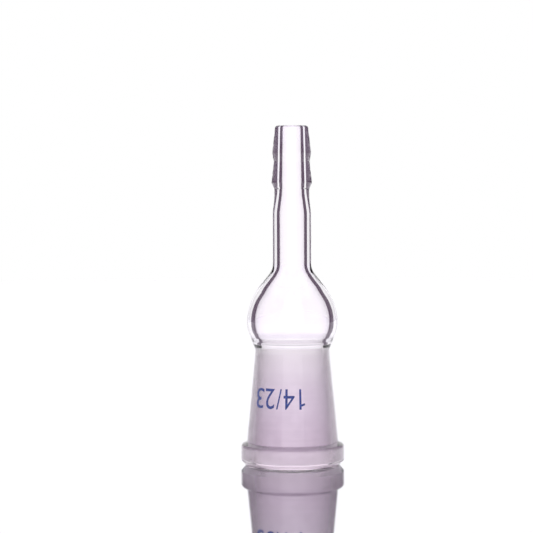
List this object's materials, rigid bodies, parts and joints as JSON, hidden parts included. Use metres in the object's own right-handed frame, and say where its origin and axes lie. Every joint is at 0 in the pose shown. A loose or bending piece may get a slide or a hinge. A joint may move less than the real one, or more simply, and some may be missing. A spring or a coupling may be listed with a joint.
{
  "type": "glass hose adapter",
  "caption": "Clear glass adapter with a ground conical socket, a round bulb and a slim stem that ends in an olive hose barb.",
  "frame": {"origin": "centre of the mouth, in the plane of the rim that the adapter stands on", "axes": "+Z along the axis, from the ground socket to the hose end; +X and +Y are free, as the glass is round; -Y faces the side that carries the printed size"},
  "size_m": [0.0198, 0.0198, 0.065],
  "materials": {
    "clear_glass": "clear fire-polished glass, with the inside of the socket finely ground",
    "blue_print": "fired blue marking ink"
  },
  "bodies": {
    "root": {"hose_adapter": "clear_glass"}
  },
  "joints": []
}
